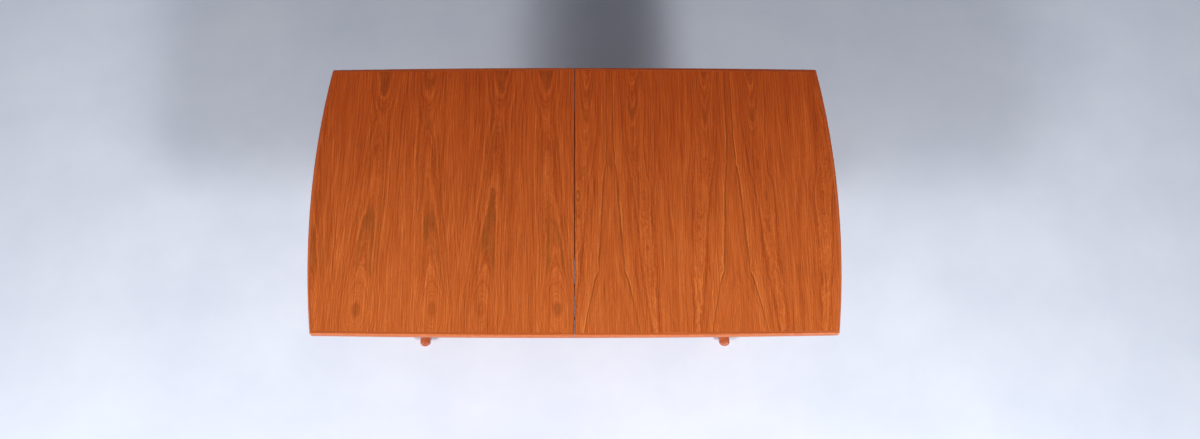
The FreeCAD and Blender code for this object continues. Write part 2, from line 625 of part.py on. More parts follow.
def hinge_links(x, upper, lower):
    """Flat links that bend round the fold from one body to the other."""
    depth, bend = HINGE_LINK_DEPTH, HINGE_LINK_BEND
    high, low = upper + depth / 2, lower - depth / 2
    outer = LEAF_FRONT - (upper - lower) / 2
    profile = [
        (LEAF_FRONT, high), (outer + bend, high), (outer, high - bend), (outer, low + bend),
        (outer + bend, low), (LEAF_FRONT, low), (LEAF_FRONT, low + depth), (outer + depth, low + depth),
        (outer + depth, high - depth), (LEAF_FRONT, high - depth),
    ]
    links = []
    for index in range(HINGE_LINKS):
        start = x + (index - (HINGE_LINKS - 1) / 2) * HINGE_LINK_PITCH - HINGE_LINK_WIDTH / 2
        links.append(prism(polygon([Vector(start, y, z) for y, z in profile]), X_AXIS * HINGE_LINK_WIDTH))
    return links


def pivot_pin():
    start = LEAF_SIDE - BRACKET_INSET - BOSS_LENGTH
    end = CROSS_RAIL_X + (CROSS_RAIL_THICK + PIVOT_BLOCK_THICK) / 2 - PIVOT_PIN_TAIL
    return rod(PIVOT_RADIUS, (start, PIVOT_Y, PIVOT_Z), (end, PIVOT_Y, PIVOT_Z))


def pivot_bracket():
    """Screwed to the back of the upper half: a plate with a boss that grips the pin."""
    outer = LEAF_SIDE - BRACKET_INSET
    face = UPPER_LEAF_BASE + TOP_THICK
    plate = block((outer - BRACKET_LENGTH, outer), about(PIVOT_Y, BRACKET_WIDTH),
                  (face, face + BRACKET_PLATE))
    boss = block((outer - BOSS_LENGTH, outer), about(PIVOT_Y, BOSS_WIDTH),
                 (face + BRACKET_PLATE, PIVOT_Z + PIVOT_RADIUS + BOSS_WALL))
    return plate.fuse(boss).removeSplitter().cut(pivot_pin())


def leaf():
    """Both halves lie show face to show face, with the fold at the front."""
    upper, lower = UPPER_LEAF_BASE + TOP_THICK / 2, LOWER_LEAF_BASE + TOP_THICK / 2
    dowel_y = 2 * PIVOT_Y + DOWEL_Y
    dowels, bodies = [], []
    for name, base, middle in (("upper", UPPER_LEAF_BASE, upper), ("lower", LOWER_LEAF_BASE, lower)):
        own_bodies = [hinge_body(x, middle) for x in hinge_places()]
        own_dowel, hole = dowel(LEAF_SIDE, dowel_y, middle), dowel_hole(-LEAF_SIDE, dowel_y, middle)
        save("leaf_panel_%s" % name, cut_all(leaf_panel(base), own_bodies + [own_dowel, hole]))
        save("leaf_edge_%s" % name, leaf_edge(base))
        dowels.append(own_dowel)
        bodies += own_bodies
    save("leaf_dowels", dowels)
    save("leaf_hinge_bodies", bodies)
    save("leaf_hinge_links", [link for x in hinge_places() for link in hinge_links(x, upper, lower)])
    save("pivot_brackets", on_both_sides(pivot_bracket(), flip_x))
    save("pivot_pins", on_both_sides(pivot_pin(), flip_x))


def main():
    os.makedirs("parts", exist_ok=True)
    trestles()
    stretcher()
    side_rails()
    cross_frame()
    top_halves()
    seam_locks()
    leaf()


main()
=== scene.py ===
# %% [markdown]
# # A table that parts in the middle and hides its own leaf
#
# The object is a dining table about 1.8 m long. Its top is two veneered halves with
# bowed edges. They run apart on wooden rails, and a leaf that is folded in two waits
# in the frame between them.
#
# The solids come in first, as a frame that never moves. Everything made later takes its
# place from them, in metres, with the origin on the floor under the middle of the table,
# X along its length and Z up.

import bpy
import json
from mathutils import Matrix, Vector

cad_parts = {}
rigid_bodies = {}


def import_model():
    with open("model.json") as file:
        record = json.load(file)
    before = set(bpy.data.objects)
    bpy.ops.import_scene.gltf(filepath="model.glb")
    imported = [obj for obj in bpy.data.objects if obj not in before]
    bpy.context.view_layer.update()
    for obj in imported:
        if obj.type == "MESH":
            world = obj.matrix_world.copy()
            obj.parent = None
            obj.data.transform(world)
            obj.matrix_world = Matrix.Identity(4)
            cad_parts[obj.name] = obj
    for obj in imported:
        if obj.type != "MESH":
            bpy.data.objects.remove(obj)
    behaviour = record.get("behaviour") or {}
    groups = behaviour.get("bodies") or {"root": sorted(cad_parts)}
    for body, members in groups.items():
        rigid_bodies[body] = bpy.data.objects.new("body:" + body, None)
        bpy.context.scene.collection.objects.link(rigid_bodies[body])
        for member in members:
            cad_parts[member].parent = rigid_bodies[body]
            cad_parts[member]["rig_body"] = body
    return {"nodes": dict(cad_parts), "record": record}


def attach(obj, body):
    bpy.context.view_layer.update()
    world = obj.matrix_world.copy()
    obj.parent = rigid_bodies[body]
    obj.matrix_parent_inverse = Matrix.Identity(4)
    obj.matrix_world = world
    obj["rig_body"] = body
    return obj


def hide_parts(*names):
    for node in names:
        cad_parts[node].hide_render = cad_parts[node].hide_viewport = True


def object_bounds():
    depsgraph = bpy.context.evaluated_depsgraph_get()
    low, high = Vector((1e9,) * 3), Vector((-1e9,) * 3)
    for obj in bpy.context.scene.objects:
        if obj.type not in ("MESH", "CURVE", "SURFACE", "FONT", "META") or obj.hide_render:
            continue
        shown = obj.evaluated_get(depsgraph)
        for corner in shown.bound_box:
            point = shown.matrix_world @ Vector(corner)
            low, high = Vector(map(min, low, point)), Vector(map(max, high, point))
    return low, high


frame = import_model()
cad_box = [list(corner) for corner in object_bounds()]

import bmesh
import bpy
import json
import math
from mathutils import Vector

nodes = frame["nodes"]
slot_of = {part["node"]: part["material_slot"] for part in frame["record"]["subparts"]}

# %% [markdown]
# A fitting belongs where its solid is, so its place is read from the solid's box and not
# typed a second time. Left, right, front and back are signs along X and Y.

# %% Places read from the frame
SIDES, PLACES = {"left": -1, "right": 1}, {"front": -1, "back": 1}


def box_of(node):
    """The lowest corner, the highest and the middle of a solid, in metres, to the micrometre."""
    points = [vertex.co for vertex in nodes[node].data.vertices]
    low, high = ([pick(point[axis] for point in points) for axis in range(3)] for pick in (min, max))
    middle = [(first + last) / 2 for first, last in zip(low, high)]
    return [[round(value, 6) for value in place] for place in (low, high, middle)]


print("the leaf waits between", *box_of("leaf_panel_lower")[:2])

# %% [markdown]
# ## Where the viewer stands
#
# The table is seen from high above its long front side, as from a gallery. A camera
# could be aimed at a target with a constraint, but a place and a tilt say the same
# thing. The small sideways shift slides the picture without turning the table.

# %% Camera
CAMERA_PLACE, TILT, TURN = (0.0065, -1.2295, 3.9455), 19.564, -0.057


def into_scene(thing):
    """Links an object, because one that is only made stays out of the picture."""
    bpy.context.scene.collection.objects.link(thing)
    return thing


camera_data = bpy.data.cameras.new("gallery_camera")
camera_data.lens, camera_data.shift_x = 30.27, 0.01936
camera = into_scene(bpy.data.objects.new("gallery_camera", camera_data))
camera.location = CAMERA_PLACE
camera.rotation_euler = (math.radians(TILT), 0, math.radians(TURN))
bpy.context.scene.camera = camera
bpy.context.scene.view_settings.view_transform = "Standard"
print(f"camera looks down at {90 - TILT:.1f} degrees")

# %% [markdown]
# ## A small language for materials
#
# Node trees can be clicked together, or written as long lists of nodes and links. Both
# hide the arithmetic. Here a class wraps one socket and overloads the operators, so
# that a pattern reads as an expression.

# %% Sums that build Math nodes
def operator(name):
    """A method that joins an amount to other terms in one Math node."""
    return lambda self, *others: self.maths(name, *others)


class Amount:
    """A value that varies over a piece: one socket, with Python's operators."""

    def __init__(self, owner, socket):
        self.owner, self.socket = owner, socket

    def maths(self, operation, *terms):
        return self.owner.node("Math", {"operation": operation}, dict(enumerate((self,) + terms)))

    def __rsub__(self, other):
        return self.owner.node("Math", {"operation": "SUBTRACT"}, {0: other, 1: self})

    __add__, __sub__, __mul__ = operator("ADD"), operator("SUBTRACT"), operator("MULTIPLY")
    __truediv__, __abs__ = operator("DIVIDE"), operator("ABSOLUTE")
    __radd__, __rmul__ = __add__, __mul__


print("an amount takes +, -, *, / and abs")

# %% [markdown]
# A tree has one method for every other kind of node: it makes the node, fills its
# sockets and hands one of them back. A finish is the tree of a material, and it starts
# from the place on the piece. Colours are given as they look on a screen.

# %% A tree of nodes, and a finish made with one
class Tree:
    """Makes any node: its settings first, then its sockets. A short kind is a shader node's."""

    def __init__(self, tree):
        self.tree = tree

    def node(self, kind, settings={}, sockets={}, output=0):
        made = self.tree.nodes.new(kind if "Node" in kind else "ShaderNode" + kind)
        for key, value in settings.items():
            if key == "stops":
                fill_ramp(made.color_ramp, value)
            elif key == "points":
                fill_curve(made.mapping, value)
            else:
                setattr(made, key, value)
        for key, value in sockets.items():
            target = made.inputs[key]
            if isinstance(value, Amount):
                self.tree.links.new(value.socket, target)
            else:
                target.default_value = value
        return None if output is None else Amount(self, made.outputs[output])

    def parts(self, vector):
        """The three coordinates of a vector."""
        return [self.node("SeparateXYZ", {}, {0: vector}, axis) for axis in "XYZ"]


class Finish(Tree):
    """A material in the making, which knows the place on the piece in millimetres."""

    def __init__(self, name):
        self.material = bpy.data.materials.new(name)
        self.material.use_nodes = True
        super().__init__(self.material.node_tree)
        self.tree.nodes.clear()
        place = self.node("TexCoord", output="Object")
        self.place = self.node("VectorMath", {"operation": "SCALE"}, {0: place, "Scale": 1000.0})
        self.x, self.y, self.z = self.parts(self.place)

    def stored(self, name, output="Fac"):
        """An attribute that the mesh carries."""
        return self.node("Attribute", {"attribute_name": name}, {}, output)


def fill_ramp(ramp, stops):
    """Stops are (position, colour) pairs."""
    while len(ramp.elements) < len(stops):
        ramp.elements.new(0.5)
    for element, (position, colour) in zip(ramp.elements, stops):
        element.position, element.color = position, paint(*colour)


def paint(red, green, blue):
    """A colour as it looks on a screen, 0 to 255, in the linear values a shader wants."""
    def linear(level):
        share = level / 255
        return share / 12.92 if share <= 0.04045 else ((share + 0.055) / 1.055) ** 2.4
    return (linear(red), linear(green), linear(blue), 1.0)


def fill_curve(mapping, points):
    curve = mapping.curves[0]
    while len(curve.points) < len(points):
        curve.points.new(0.5, 0.5)
    for point, place in zip(curve.points, points):
        point.location = place
    mapping.update()


print("mid brown in linear values:", [round(level, 3) for level in paint(165, 75, 34)])

# %% [markdown]
# ### Patterns
#
# Most of what a workshop leaves on a surface is noise, drawn out along the grain or the
# brush stroke. All sizes are millimetres on the real piece, so that a pore stays a pore
# on a large panel and on a small strip.

# %% Patterns that several finishes share
def along_grain(axis, length, width):
    """The size of a pattern that runs far along one axis and little along the others."""
    return tuple(length if way == axis else width for way in "XYZ")


def clouds(finish, size, seed, detail, roughness=0.5):
    """Soft noise, 0 to 1, with features of that size in millimetres along X, Y and Z."""
    place = finish.node("VectorMath", {"operation": "MULTIPLY"},
                        {0: finish.place, 1: tuple(1 / length for length in size)})
    place = finish.node("VectorMath", {"operation": "ADD"}, {0: place, 1: (seed, seed * 0.7, -seed)})
    return finish.node("TexNoise", {}, {
        "Vector": place, "Scale": 1.0, "Detail": detail, "Roughness": roughness})


def stripes(amount, period, seed, detail=1.0):
    """Noise along one number: the same value wherever the amount is the same."""
    return amount.owner.node("TexNoise", {"noise_dimensions": "1D"}, {
        "W": amount / period + seed, "Scale": 1.0, "Detail": detail})


def span(amount, low, high, to_low=0.0, to_high=1.0, way="LINEAR"):
    """Brings low to high onto another range, clamped."""
    return amount.owner.node("MapRange", {"interpolation_type": way}, {
        "Value": amount, "From Min": low, "From Max": high, "To Min": to_low, "To Max": to_high})


def ramp(stops, amount):
    """Reads a colour off a row of stops."""
    return amount.owner.node("ValToRGB", {"stops": stops}, {"Fac": amount}, "Color")


def blended(factor, first, second, how="MIX"):
    """Mixes two colours, or lays one over the other."""
    return factor.owner.node("Mix", {"data_type": "RGBA", "blend_type": how},
                             {0: factor, 6: first, 7: second}, 2)


def rubbed(finish, colour, bare, share):
    """Hands thin the finish on an arris, in patches; the mesh says where its edges are."""
    patch = span(clouds(finish, (16, 16, 16), 51.0, 3.0, 0.6), 0.38, 0.62, 0.2)
    return blended(finish.stored("arris") * patch * share, colour, bare)


def surface(finish, colour, rough, relief, depth, strength, **others):
    """Ends the tree in a Principled shader; other keys name its sockets, with _ for a space."""
    normal = finish.node("Bump", {}, {"Height": relief, "Distance": depth, "Strength": strength}, "Normal")
    shader = finish.node("BsdfPrincipled", {}, {
        "Base Color": colour, "Roughness": rough, "Normal": normal,
        **{key.replace("_", " "): value for key, value in others.items()}})
    finish.node("OutputMaterial", {}, {"Surface": shader}, None)
    return finish.material


print("a vessel of the grain along Y measures", along_grain("Y", 14, 0.55), "mm")

# %% [markdown]
# ## Floor, light and the room
#
# The table stands on a pale floor, in plain studio light. The backdrop is pale because
# its own colour is, for the rays that look at it. Making it pale with stronger lamps
# would bleach the table. The floor is lit in an oval pool that holds the table and its
# shadows, and melts into the backdrop's tone further out.

# %% The floor
BACKDROP, ROOM = paint(221, 227, 238), paint(236, 240, 248)
FLOOR_PAINT = [(0.3, (222, 229, 244)), (0.7, (232, 238, 251))]
FLOOR_REACH = 30
POOL_MIDDLE, POOL_SQUEEZE, MELT_START, MELT_END = 1400.0, 1.4, 3600.0, 5400.0


def plainly_seen(tree):
    """1 for what is seen directly, mirrored or through glass, 0 for light that only bounces."""
    return sum(tree.node("LightPath", output=f"Is {kind} Ray")
               for kind in ("Camera", "Glossy", "Transmission"))


def pale_floor():
    finish = Finish("pale_studio_floor")
    colour = ramp(FLOOR_PAINT, clouds(finish, (420, 420, 420), 3.0, 4.0, 0.6))
    lengthways = (finish.y - POOL_MIDDLE) * POOL_SQUEEZE
    away = (finish.x * finish.x + lengthways * lengthways).maths("SQRT")
    melt = span(away, MELT_START, MELT_END, way="SMOOTHSTEP") * plainly_seen(finish)
    lit = finish.node("BsdfPrincipled", {}, {"Base Color": colour, "Roughness": 0.75})
    far = finish.node("Emission", {}, {"Color": BACKDROP})
    mixed = finish.node("MixShader", {}, {0: melt, 1: lit, 2: far})
    finish.node("OutputMaterial", {}, {"Surface": mixed}, None)
    return finish.material


floor_mesh = bpy.data.meshes.new("studio_floor")
floor_corners = [(x * FLOOR_REACH, y * FLOOR_REACH, 0) for x, y in ((-1, -1), (1, -1), (1, 1), (-1, 1))]
floor_mesh.from_pydata(floor_corners, [], [(0, 1, 2, 3)])
floor_mesh.materials.append(pale_floor())
floor = into_scene(bpy.data.objects.new("studio_floor", floor_mesh))
print("floor of", floor.dimensions.x, "m, a stage and no part of the table")

# %% [markdown]
# ### The lamps
#
# Two softboxes on high stands, one at either end of the front, give every leg two soft
# shadows, and behind the table their shadows cross. One big lamp would be simpler, but
# its light is so even that rounded edges look flat. Each lamp wears a honeycomb grid,
# here its spread, which keeps the floor below it from glaring.

# %% The lamps
HONEYCOMB = math.radians(110)
SOFTBOXES = {"left_softbox": ((-4.0, -4.2, 3.7), (-0.8, -0.5, 0.0), 1.2, 124),
             "right_softbox": ((3.0, -4.2, 3.7), (0.8, -0.5, 0.0), 0.9, 104)}


def soft_lamp(name, place, aim, size, watts):
    light = bpy.data.lights.new(name, "AREA")
    light.size, light.energy, light.spread = size, watts, HONEYCOMB
    lamp = into_scene(bpy.data.objects.new(name, light))
    lamp.location = place
    lamp.rotation_euler = (Vector(aim) - Vector(place)).to_track_quat("-Z", "Y").to_euler()


for name, (place, aim, size, watts) in SOFTBOXES.items():
    soft_lamp(name, place, aim, size, watts)
    print(name, f"stands {Vector(place[:2]).length:.1f} m away and {place[2]} m high")

# %% [markdown]
# ### The room
#
# A dim room fills the shade, so that no shadow is black. For the rays that look at it,
# its walls have the backdrop's tone near the floor, and no line shows where they meet.

# %% The room
WALL_START, WALL_END, SHADE_LIGHT = 0.15, 0.45, 0.17
world = bpy.data.worlds.new("studio_room")
world.use_nodes = True
bpy.context.scene.world = world
room = Tree(world.node_tree)
world.node_tree.nodes.clear()
height = room.parts(room.node("TexCoord", output="Generated"))[2]
wall = span(height, WALL_START, WALL_END, 1.0, 0.0) * plainly_seen(room)
dim = room.node("Background", {}, {"Color": ROOM, "Strength": SHADE_LIGHT})
pale = room.node("Background", {}, {"Color": BACKDROP})
mixed = room.node("MixShader", {}, {0: wall, 1: dim, 2: pale})
room.node("OutputWorld", {}, {"Surface": mixed}, None)
print("the room fills the shade with", SHADE_LIGHT, "of a white wall's light")

# %% [markdown]
# ## Wood
#
# Wood is a stack of growth cones round a pith. A board shows where its face cuts them:
# straight lines at its sides, arches in its middle, ovals over a hollow. So one number
# is worked out first, the distance from the pith, and all colour is read from it.

# %% The colours of one growth ring after another
TEAK = [(0.0, (143, 59, 18)), (0.28, (180, 82, 27)), (0.5, (201, 97, 37)), (0.72, (216, 112, 48)),
        (1.0, (240, 140, 71))]
BACKING = [(0.2, (128, 62, 26)), (0.5, (152, 80, 38)), (0.8, (172, 98, 52))]
OLIVE, JOINT_DIRT_AND_SHADE = paint(146, 80, 26), paint(60, 6, 3)
DEEPENING_FROM_Y, DEEPEST_FROM_Y, DEEP_RED = -500.0, 600.0, (0.745, 0.51, 0.28, 1.0)


def ring_shade(rings, seed):
    """Broad bands, growth rings and hairlines, all from the distance to the pith in millimetres."""
    bands = stripes(rings, 19.0, seed, 1.0)
    lines = stripes(rings, 5.0, seed + 11, 2.0)
    hairs = stripes(rings, 1.7, seed + 23, 1.0)
    return bands * 0.11 + lines * 0.35 + hairs * 0.54


def pores(finish, along, seed):
    """Short dark vessels along the grain."""
    return span(clouds(finish, along_grain(along, 14, 0.55), seed, 1.0), 0.56, 0.74)


def deeper_towards_back(finish, colour):
    """Darker and redder towards the back, along Y, than at the front."""
    deep = span(finish.y, DEEPENING_FROM_Y, DEEPEST_FROM_Y, way="SMOOTHSTEP")
    return blended(deep, colour, DEEP_RED, "MULTIPLY")


def dirt_and_shade_at_joint(finish, colour, joint_x, reach, share):
    """Glue line and dirt, with painted shade of the gap, beside a joint that runs along Y."""
    # Painted shade: close to the joint the colour goes towards near black, partly for glue and dirt, partly
    # for the shade in the gap.
    near = span(abs(abs(finish.x) - joint_x), 0.7, reach, share, 0.0)
    return blended(near, colour, JOINT_DIRT_AND_SHADE)


def curve_along(amount, pairs):
    """A smooth curve through (amount, value) pairs, as a Float Curve with its ends scaled."""
    low, high = pairs[0][0], pairs[-1][0]
    least, most = min(value for _, value in pairs), max(value for _, value in pairs)
    points = [((at - low) / (high - low), (value - least) / (most - least)) for at, value in pairs]
    share = span(amount, low, high)
    return share.owner.node("FloatCurve", {"points": points}, {"Value": share}) * (most - least) + least


print("teak runs through", len(TEAK), "tones")

# %% [markdown]
# ### Book-matched veneer
#
# Sheets cut one after another from the same log are opened like the pages of a book,
# so each is the mirror image of its neighbour. A number that runs up and down between
# zero and the width of a sheet gives that. Two curves then say, along the sheet, where
# the pith lay and how deep it was. A pith that comes near makes an oval eye, and one
# that sinks away makes a row of arches. A third curve marks single rings, dark or light.

# %% Veneer
def veneer(name, fold_at, sheet, seed, pith_across, pith_depth, figure, knots=(), flare=(), calm=(),
           mark=0.16, joint_x=0.0, show_level=730.0):
    """Curves are pairs: millimetres along Y and a place or depth, or a ring's distance and its mark.

    A knot (across, y, reach, pull) draws the rings to itself. The flare leans them over
    towards one edge of the sheet, and calm takes the marks off the outer rings.
    """
    finish = Finish(name)
    across = (finish.x - fold_at).maths("PINGPONG", sheet)
    page = ((finish.x - fold_at) / sheet).maths("FLOOR")
    # Painted sheen: each sheet gets a small step in tone of its own, for the way book-matched sheets catch
    # the light differently.
    own = finish.node("TexWhiteNoise", {"noise_dimensions": "1D"}, {"W": page + seed})
    drift = clouds(finish, (90, 320, 90), seed, 1.0) - 0.5
    tremble = clouds(finish, (24, 60, 24), seed + 5, 3.0, 0.6) - 0.5
    jag = clouds(finish, (5, 15, 5), seed + 9, 2.0, 0.6) - 0.5
    offset = across - curve_along(finish.y, pith_across) + drift * 9.0
    if flare:
        lean = 1.0 - across / sheet
        offset = offset - curve_along(finish.y, flare) * lean * lean
    depth = curve_along(finish.y, pith_depth) + tremble * 7.0 + jag * 3.0
    rings = (offset * offset + depth * depth).maths("SQRT") + drift * 5.0
    for at_across, at_y, reach, pull in knots:
        sideways, lengthways = (across - at_across) / reach, (finish.y - at_y) / (reach * 2.4)
        rings = rings - (0.0 - sideways * sideways - lengthways * lengthways).maths("EXPONENT") * pull

    fade = span(clouds(finish, (45, 120, 45), seed + 31, 2.0), 0.35, 0.6, 0.35)
    one_side = 1.0 - span(rings, 84.0, 88.0) * span(offset, 0.0, 20.0)
    marked = curve_along(rings, figure) * fade * one_side
    if calm:
        outer = span(rings, 39.5, 44.0)
        marked = marked * (1.0 - curve_along(finish.y, calm) * outer)

    shade = ring_shade(rings, seed)
    streak = clouds(finish, (1.6, 260, 1.6), seed + 3, 2.0, 0.7)
    # Painted sheen: broad ribbon stripes along the grain, lighter and darker as the figure's sheen would
    # show.
    ribbon_sheen = clouds(finish, (26, 500, 26), seed + 7, 1.0)
    fleck = clouds(finish, (1.5, 90, 1.5), seed + 17, 1.0) - 0.5
    level = ((shade - 0.5) * 1.15 + (streak - 0.5) * 1.2 + fleck * 0.8 + (ribbon_sheen - 0.5) * 0.3
             + (own - 0.5) * 0.06 + marked * mark + 0.5)
    colour = blended(span(marked, -0.25, -0.7, 0.0, 0.45), ramp(TEAK, level), OLIVE)
    plain = clouds(finish, (7, 600, 40), seed + 41, 3.0, 0.6) * 0.6 + streak * 0.4
    hidden_face = span(abs(finish.z - show_level), 0.6, 0.9)
    colour = blended(hidden_face, colour, ramp(BACKING, plain))
    vessels = pores(finish, "Y", seed)
    colour = deeper_towards_back(finish, blended(vessels * 0.35, colour, paint(84, 33, 13)))
    rough = clouds(finish, (60, 60, 60), seed + 2, 3.0) * 0.14 + vessels * 0.15 + 0.4
    return surface(finish, dirt_and_shade_at_joint(finish, colour, joint_x, 2.6, 1.0), rough, streak * 0.4 - vessels,
                   0.00012, 0.6, Coat_Weight=0.04, Coat_Roughness=0.35, Specular_IOR_Level=0.26)


left_veneer = veneer(
    "teak_veneer_left", fold_at=-387.0, sheet=206.0, seed=4.0,
    pith_across=[(-490, 77), (-397, 82), (-200, 92), (0, 110), (200, 120), (380, 127), (490, 126)],
    pith_depth=[(-490, -38), (-455, -26), (-397, 0), (-345, 26), (-280, 39), (-150, 46), (0, 52), (200, 57),
                (300, 61), (350, 57), (390, 52), (430, 49), (490, 45)],
    figure=[(0, -0.75), (11, -0.5), (18, 0.1), (29, 0.5), (36, 0.1), (39, 0.8), (42, -0.1), (46, -0.65),
            (51.5, -0.8), (53.5, 0.5), (58, 0.25), (60.5, -0.55), (63, 0.2), (64.5, -0.6), (68, 0.0),
            (110, 0.0)],
    calm=[(-490, 0.7), (-360, 0.65), (-270, 0.3), (-190, 0.0), (490, 0.0)])
right_veneer = veneer(
    "teak_veneer_right", fold_at=541.0, sheet=209.0, seed=9.0, mark=0.14,
    pith_across=[(-490, 126), (-410, 125), (-245, 123), (0, 108), (100, 89), (150, 81.5), (210, 74),
                 (300, 68.7), (420, 64), (490, 61)],
    pith_depth=[(-490, 64), (-245, 62), (0, 60), (100, 57), (197, 53), (300, 46), (400, 38), (490, 28)],
    figure=[(0, -0.3), (14, 0.0), (28, 0.1), (32, -0.4), (35, 0.3), (39, -0.45), (42, 0.4), (44, -0.1),
            (46.5, -0.9), (48, -0.1), (49.5, 0.6), (52, -0.5), (54, 0.25), (56.5, -0.45), (58.5, 0.2),
            (61, -0.3), (66, 0.0), (80, -0.15), (90, 0.0), (93, -0.4), (95.5, 2.2), (98.5, 2.0), (101, -1.7),
            (104, -0.2), (108, 0.3), (112, -0.6), (118, 0.0), (150, 0.0)],
    knots=[(112, -2, 17, 16), (48, -260, 6, 7), (19, 124, 5, 5)],
    flare=[(-490, 150), (-400, 78), (-310, 24), (-240, 0), (0, 0), (100, 16), (210, 26), (300, 37), (420, 45),
           (490, 50)])
print("veneers:", left_veneer.name, right_veneer.name)

# %% [markdown]
# ### Solid wood
#
# In a solid board the cones go right through. The pith is a line beside the board, and
# the true distance from it gives straight grain on one face, arches on the next and
# curved rings on the end grain, without any map.

# %% Solid boards
LIPPING_TEAK = [(0.0, (142, 59, 23)), (0.3, (179, 84, 35)), (0.5, (199, 98, 46)), (0.72, (217, 116, 60)),
                (1.0, (240, 142, 87))]
FRAME_TEAK = [(0.0, (124, 46, 10)), (0.3, (158, 66, 18)), (0.5, (176, 78, 25)), (0.72, (192, 92, 34)),
              (1.0, (212, 114, 52))]
BEECH = [(0.0, (176, 122, 76)), (0.35, (196, 143, 96)), (0.6, (208, 158, 110)), (1.0, (222, 178, 132))]
# Painted shade: the lippings are darker below the flat on top, over the rounded edge and outer face.
EDGE_SHADE_PAINT, EDGE_SHADE_PAINT_FROM, EDGE_SHADE_PAINT_TO = paint(150, 84, 46), 728.8, 729.8


def solid_wood(name, along, pith, stops, seed, ring=1.0, vessel=0.35, lean=0.03, bend=0.0, coat=0.05,
               on_top=False):
    """The pith is where that line crosses the other two axes, in millimetres, in X, Y, Z order."""
    finish = Finish(name)
    first, second, length = {"X": (finish.y, finish.z, finish.x), "Y": (finish.x, finish.z, finish.y),
                             "Z": (finish.x, finish.y, finish.z)}[along]
    if bend:
        first = abs(first) + length * length * bend
    wave = clouds(finish, along_grain(along, 150, 20), seed, 2.0) - 0.5
    broad = clouds(finish, along_grain(along, 600, 80), seed + 4, 1.0) - 0.5
    a = first - pith[0] + length * lean + broad * 14.0
    b = second - pith[1] - length * lean * 0.5
    rings = (a * a + b * b).maths("SQRT") + wave * 4.0
    shade = ring_shade(rings / ring, seed)
    streak = clouds(finish, along_grain(along, 220, 1.3), seed + 3, 2.0, 0.7)
    vessels = pores(finish, along, seed)
    level = (shade - 0.5) * 1.9 + (streak - 0.5) * 0.5 + broad * 0.25 + 0.5
    colour = blended(vessels * vessel, ramp(stops, level), paint(84, 38, 18))
    # Painted shade: a lipping's edge and outer face are darkened below the flat on top.
    if on_top:
        painted_edge_shade = span(finish.z, EDGE_SHADE_PAINT_FROM, EDGE_SHADE_PAINT_TO, 0.4, 0.0)
        colour = blended(painted_edge_shade, colour, EDGE_SHADE_PAINT)
    colour = rubbed(finish, colour, paint(*stops[-1][1]), 0.25)
    if on_top:
        colour = deeper_towards_back(finish, dirt_and_shade_at_joint(finish, colour, 0.0, 1.8, 0.85))
    rough = clouds(finish, (50, 50, 50), seed + 2, 3.0) * 0.14 + vessels * 0.12
    return surface(finish, colour, rough - finish.stored("arris") * 0.06 + 0.38, streak * 0.5 - vessels,
                   0.00015, 0.6, Coat_Weight=coat, Coat_Roughness=0.3, Specular_IOR_Level=0.3)


print("solid wood recipes: teak with", len(LIPPING_TEAK), "stops, beech with", len(BEECH))

# %% [markdown]
# ### Metal, felt and nylon
#
# The fittings show when the table is turned over or pulled apart, so each gets its own
# surface: brushed lines on zinc, soft tarnish on brass, a nap on felt and a dull moulded
# skin on nylon.

# %% Small finishes
def metal(name, bright, dull, grain, roughness):
    finish = Finish(name)
    brushed = clouds(finish, grain, 2.0, 2.0, 0.7)
    stain = clouds(finish, (9, 9, 9), 6.0, 4.0, 0.6)
    colour = blended(span(stain, 0.4, 0.7), bright, dull)
    return surface(finish, rubbed(finish, colour, paint(226, 220, 206), 0.7),
                   stain * 0.25 + brushed * 0.1 + roughness, brushed, 0.00004, 0.5, Metallic=1.0)


def felt(name):
    finish = Finish(name)
    nap = clouds(finish, (0.7, 0.7, 0.7), 1.0, 3.0, 0.8)
    colour = blended(span(nap, 0.35, 0.65), paint(58, 66, 52), paint(84, 94, 74))
    return surface(finish, colour, 0.95, nap, 0.0005, 0.8, Sheen_Weight=0.4)


def nylon(name):
    finish = Finish(name)
    skin = clouds(finish, (0.5, 0.5, 0.5), 1.0, 2.0)
    scuff = clouds(finish, (7, 7, 7), 8.0, 4.0, 0.7)
    colour = blended(span(scuff, 0.5, 0.7), paint(92, 70, 52), paint(122, 100, 80))
    return surface(finish, colour, scuff * 0.3 + 0.35, skin, 0.00006, 0.6)


fitting_finish = {
    "zinc_steel": metal("zinc_plate", paint(178, 180, 178), paint(140, 143, 145), (0.4, 14, 0.4), 0.22),
    "brass": metal("tarnished_brass", paint(196, 158, 92), paint(150, 112, 58), (10, 0.5, 0.5), 0.2),
    "felt": felt("green_felt"), "nylon": nylon("brown_nylon")}
print("small finishes:", *(finish.name for finish in fitting_finish.values()))

# %% [markdown]
# ## From a solid to a finished piece
#
# A sawn and planed part never has a knife-sharp edge: sandpaper takes a little off it,
# and that thin bright line is what makes a joint readable. The solid's mesh is copied,
# its loose triangles are joined and merged into flat faces, and only the sharp edges
# are rounded.

# %% Round the edges of a solid
WELD, FLAT, REAL_CORNER, NEAR_SEAM = 0.00001, math.radians(0.5), math.radians(32), 0.001
SANDED, TUMBLED, CRISP = 0.0007, 0.0003, 0.00015


def show_sharp(mesh):
    """Smooth faces, with a hard edge wherever two of them meet at a real corner."""
    shape = bmesh.new()
    shape.from_mesh(mesh)
    for face in shape.faces:
        face.smooth = True
    for edge in shape.edges:
        edge.smooth = edge.is_manifold and edge.calc_face_angle(0.0) < REAL_CORNER
    shape.to_mesh(mesh)
    shape.free()


def mark_arris(shape, faces):
    """Leaves a 1 on every face that belongs to a rounded edge, for the finish to read."""
    shape.faces.index_update()
    rounded = {face.index for face in faces}
    layer = shape.faces.layers.float.new("arris")
    for face in shape.faces:
        face[layer] = float(face.index in rounded)


